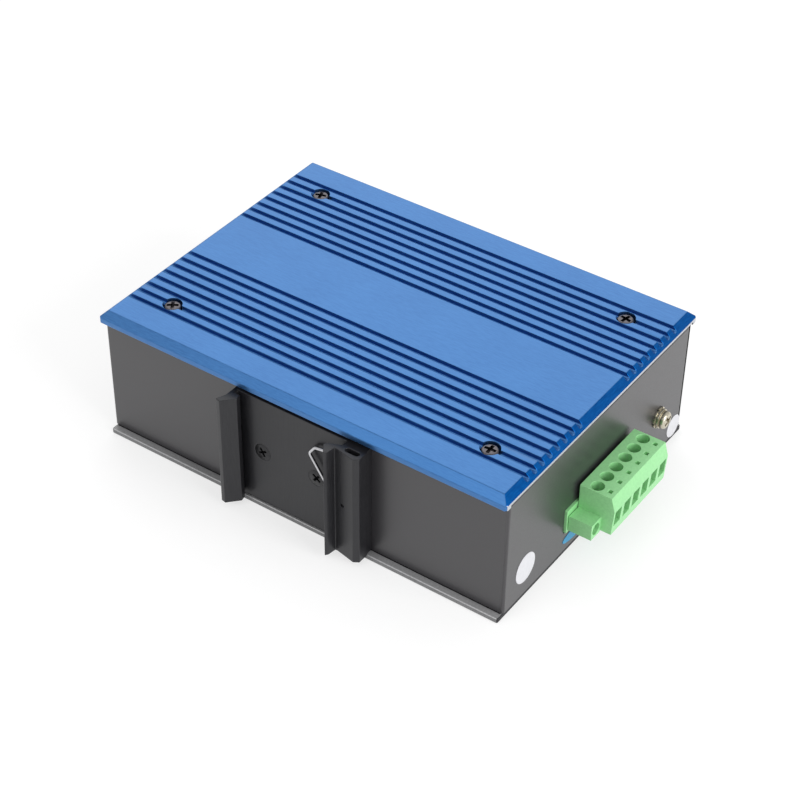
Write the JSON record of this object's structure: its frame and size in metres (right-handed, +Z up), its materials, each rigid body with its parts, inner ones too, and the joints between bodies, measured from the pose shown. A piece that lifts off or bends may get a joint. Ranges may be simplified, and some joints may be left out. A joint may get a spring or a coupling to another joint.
{
  "type": "industrial ethernet switch",
  "caption": "Flat metal network switch with a grooved heat-sink lid, folded chassis, rail clip with wire spring, pluggable screw terminal, ground screw and a side of stacked network ports.",
  "frame": {"origin": "middle of the base plate's underside", "axes": "+X along the case towards the power terminal, +Y towards the network ports, -Y towards the rail clip, +Z up through the grooved cover"},
  "size_m": [0.1551, 0.1115, 0.046],
  "materials": {
    "blue_anodised": "blue anodised, brushed satin",
    "grey_sheet": "dark grey powder coat, satin",
    "black_anodised": "black anodised, satin",
    "spring_steel": "bright drawn wire",
    "black_steel": "black oxide",
    "nickel_screw": "nickel plated",
    "plated_steel": "zinc plated",
    "brass": "plain turned",
    "circuit_board": "green solder resist",
    "green_plastic": "moulded, fine satin",
    "white_label": "matt film",
    "blue_label": "matt film",
    "black_plastic": "moulded, satin",
    "contact_gold": "gold plated",
    "clear_plastic": "clear moulded",
    "chip_black": "moulded, matt",
    "soft_pad": "soft gap filler",
    "bare_aluminium": "sawn and milled",
    "grey_ferrite": "sintered, matt"
  },
  "bodies": {
    "root": {"top_cover": "blue_anodised", "bottom_cover": "grey_sheet", "chassis": "grey_sheet", "front_panel": "grey_sheet", "din_clip": "black_anodised", "clip_spring": "spring_steel", "clip_screws": "black_steel", "cover_screws": "nickel_screw", "base_screws": "nickel_screw", "upper_posts": "brass", "lower_posts": "brass", "main_board": "circuit_board", "terminal_header": "green_plastic", "header_pins": "plated_steel", "terminal_plug": "green_plastic", "wire_clamps": "plated_steel", "clamp_screws": "plated_steel", "plug_contacts": "contact_gold", "locking_screws": "plated_steel", "tooth_washer": "nickel_screw", "spring_washer": "nickel_screw", "ground_screw": "nickel_screw", "round_label": "white_label", "ground_label": "white_label", "oval_label": "blue_label", "port_shields": "plated_steel", "port_contacts": "contact_gold", "port_lights": "clear_plastic", "lamp_board": "circuit_board", "status_lamps": "clear_plastic", "status_lights": "clear_plastic", "switch_chip": "chip_black", "chip_pad": "soft_pad", "heat_block": "bare_aluminium", "cover_pad": "soft_pad", "magnetics": "chip_black", "chokes": "grey_ferrite", "capacitors": "black_plastic", "controllers": "chip_black", "alarm_relay": "black_plastic", "input_fuse": "black_plastic", "port_stack_1": "black_plastic", "port_stack_2": "black_plastic", "port_stack_3": "black_plastic", "port_stack_4": "black_plastic"}
  },
  "joints": []
}
